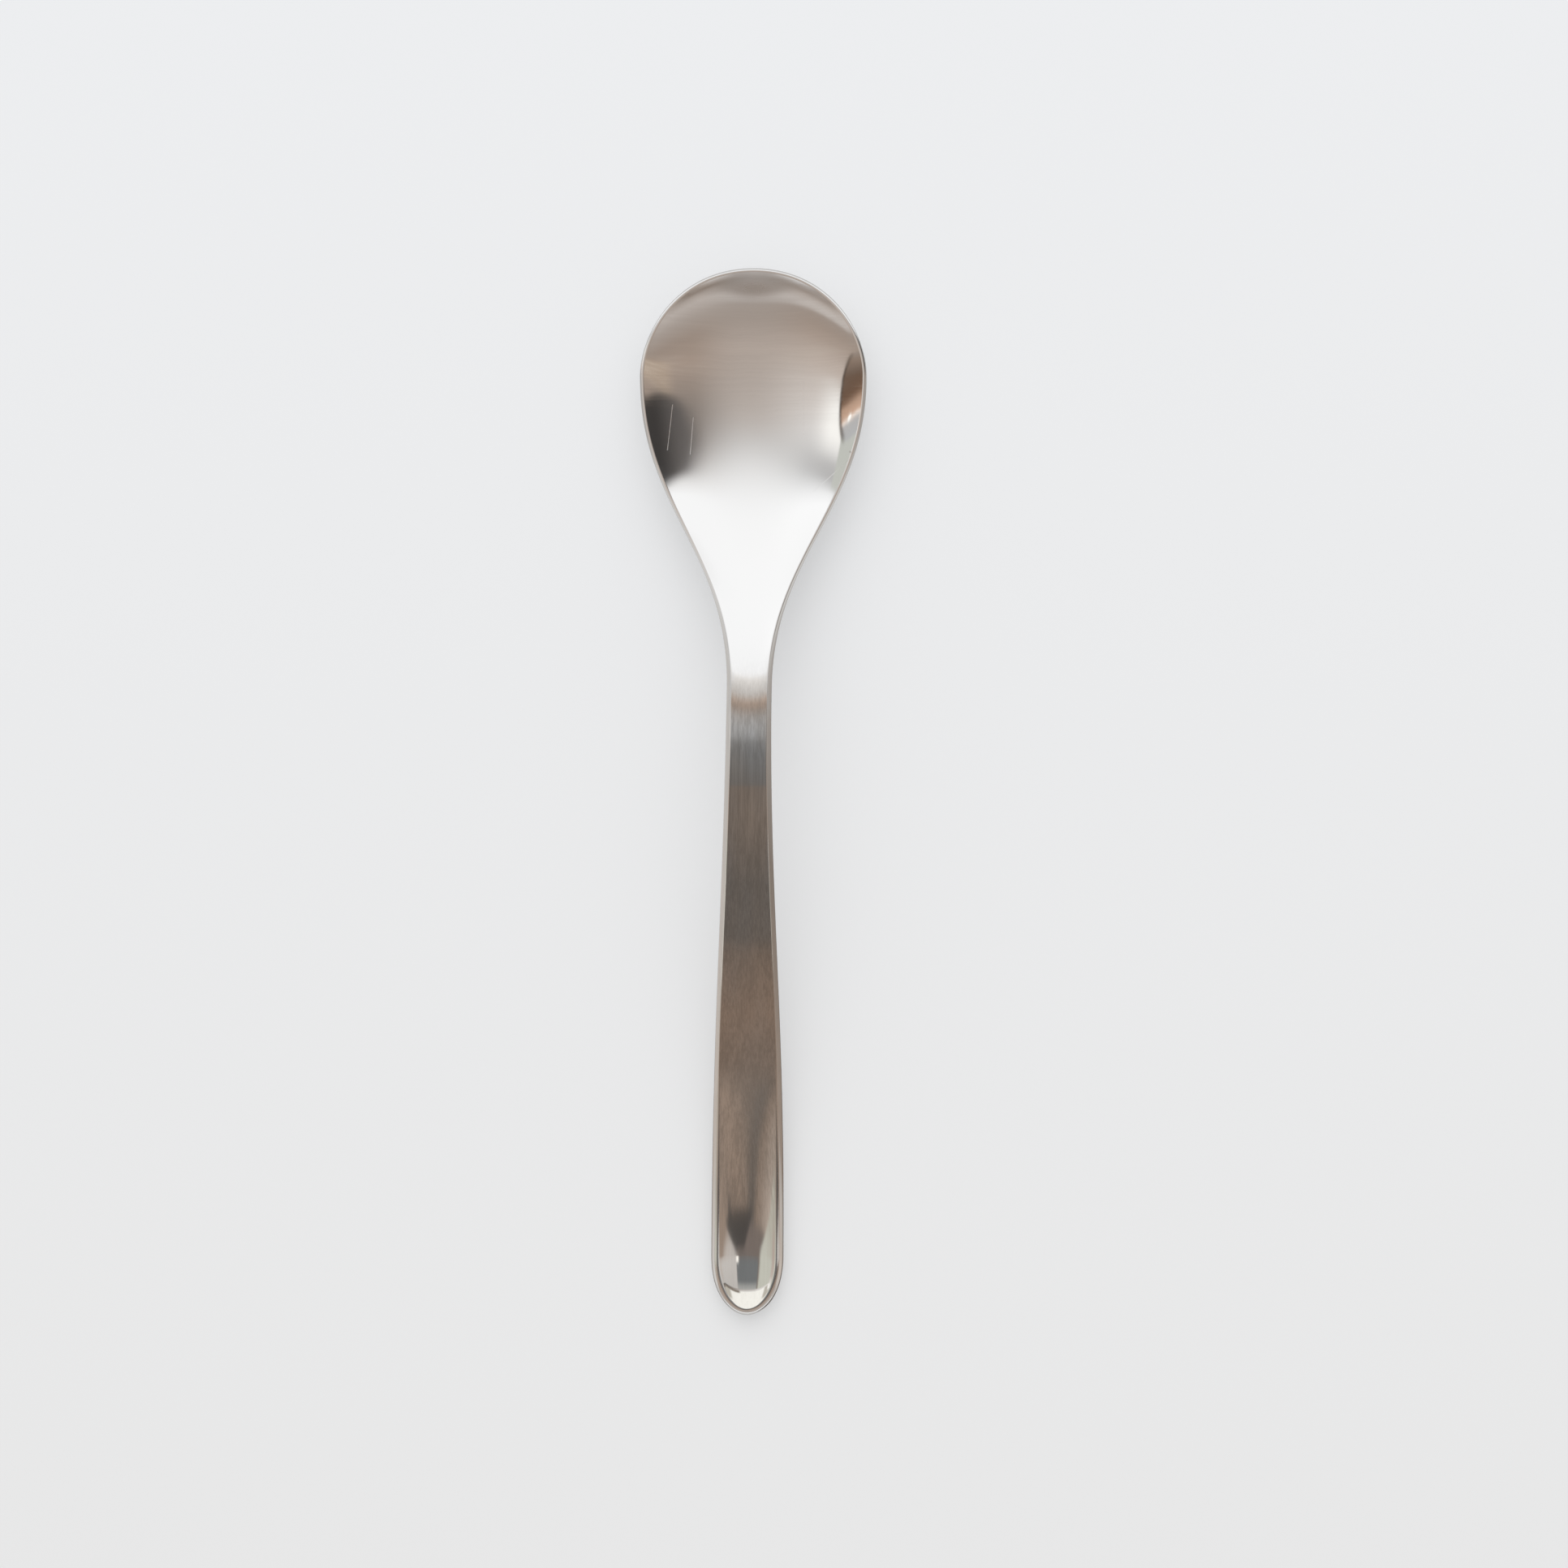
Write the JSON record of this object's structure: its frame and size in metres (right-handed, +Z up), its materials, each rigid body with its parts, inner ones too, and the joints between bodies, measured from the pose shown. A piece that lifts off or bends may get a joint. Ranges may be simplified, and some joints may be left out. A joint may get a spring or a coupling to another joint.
{
  "type": "soup spoon",
  "caption": "One-piece steel soup spoon with a deep egg-shaped bowl, slim arched handle and hollowed thumb rest.",
  "frame": {"origin": "on the table under the middle of the spoon's length and width, with the spoon lying as it rests", "axes": "+Z up from the table, +Y along the spoon towards the tip of the bowl, +X to the right seen from the handle"},
  "size_m": [0.0378, 0.175, 0.0162],
  "materials": {
    "stainless_steel": "satin: fine lengthwise brushing on the handle, softer crosswise polishing lines in the bowl, ground and rounded edges"
  },
  "bodies": {
    "root": {"spoon": "stainless_steel"}
  },
  "joints": []
}
